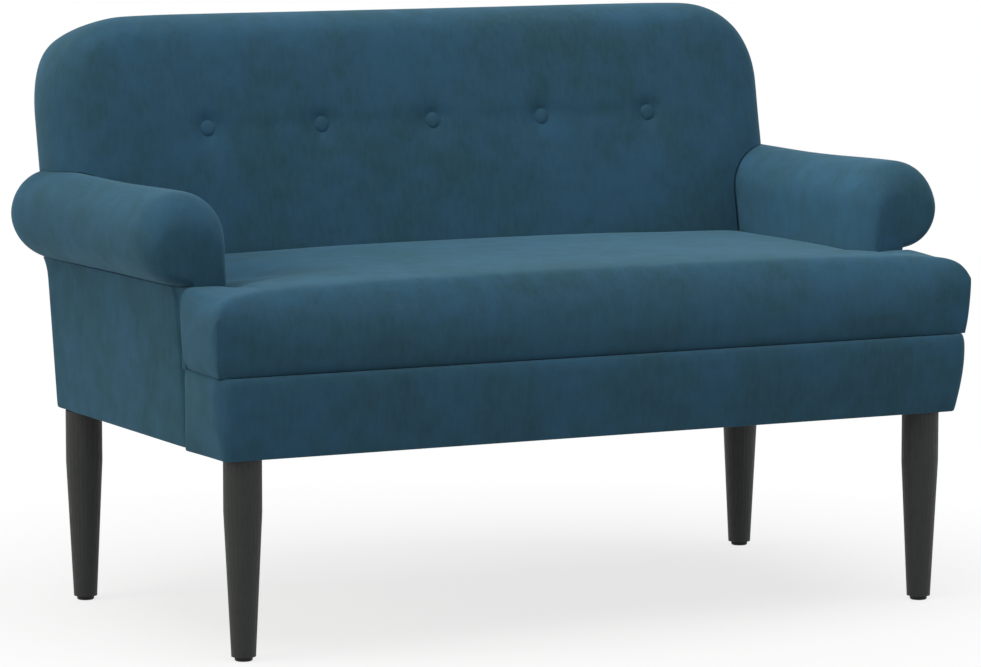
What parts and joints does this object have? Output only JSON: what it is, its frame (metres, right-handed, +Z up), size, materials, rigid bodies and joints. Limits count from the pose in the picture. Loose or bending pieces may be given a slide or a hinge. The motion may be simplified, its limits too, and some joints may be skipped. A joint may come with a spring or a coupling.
{
  "type": "two-seat settee",
  "caption": "Straight upholstered settee in velvet with a tight T-shaped seat, rolled arms, a buttoned slab back with round top corners, and turned tapered wooden legs.",
  "frame": {"origin": "on the floor, below the middle of the settee's box", "axes": "+X to the right as seen from the front, along the settee's width; +Y from front to back; +Z up"},
  "size_m": [1.1224, 0.6504, 0.749],
  "materials": {
    "velvet": "soft velvet pile, teal blue",
    "leg_wood": "black stain, satin lacquer",
    "glide_plastic": "matt black",
    "steel": "bright, lightly oiled",
    "frame_pine": "planed, unfinished",
    "plywood": "sawn, unfinished",
    "hardboard": "smooth brown board",
    "foam": "open-cell upholstery foam",
    "deck_felt": "grey needled felt",
    "dust_cloth": "black non-woven cloth"
  },
  "bodies": {
    "root": {"leg_front_left": "leg_wood", "glide_front_left": "glide_plastic", "hanger_bolt_front_left": "steel", "insert_nut_front_left": "steel", "corner_post_front_left": "frame_pine", "leg_front_right": "leg_wood", "glide_front_right": "glide_plastic", "hanger_bolt_front_right": "steel", "insert_nut_front_right": "steel", "corner_post_front_right": "frame_pine", "leg_rear_left": "leg_wood", "glide_rear_left": "glide_plastic", "hanger_bolt_rear_left": "steel", "insert_nut_rear_left": "steel", "corner_post_rear_left": "frame_pine", "leg_rear_right": "leg_wood", "glide_rear_right": "glide_plastic", "hanger_bolt_rear_right": "steel", "insert_nut_rear_right": "steel", "corner_post_rear_right": "frame_pine", "side_rail_left": "frame_pine", "arm_board_left": "plywood", "arm_rail_left": "frame_pine", "arm_foam_left": "foam", "arm_cover_left": "velvet", "outer_arm_panel_left": "velvet", "back_post_left": "frame_pine", "side_rail_right": "frame_pine", "arm_board_right": "plywood", "arm_rail_right": "frame_pine", "arm_foam_right": "foam", "arm_cover_right": "velvet", "outer_arm_panel_right": "velvet", "back_post_right": "frame_pine", "front_rail": "frame_pine", "rear_rail": "frame_pine", "centre_stretcher": "frame_pine", "back_top_rail": "frame_pine", "back_button_rail": "frame_pine", "back_lower_rail": "frame_pine", "back_board": "hardboard", "dust_cover": "dust_cloth", "spring_strip_front": "steel", "spring_strip_rear": "steel", "seat_spring_1": "steel", "seat_spring_2": "steel", "seat_spring_3": "steel", "seat_spring_4": "steel", "seat_deck": "deck_felt", "seat_foam": "foam", "back_foam": "foam", "seat_cover": "velvet", "base_band": "velvet", "back_cover": "velvet", "outer_back_panel": "velvet", "back_button_1": "velvet", "back_button_2": "velvet", "back_button_3": "velvet", "back_button_4": "velvet", "back_button_5": "velvet"}
  },
  "joints": []
}
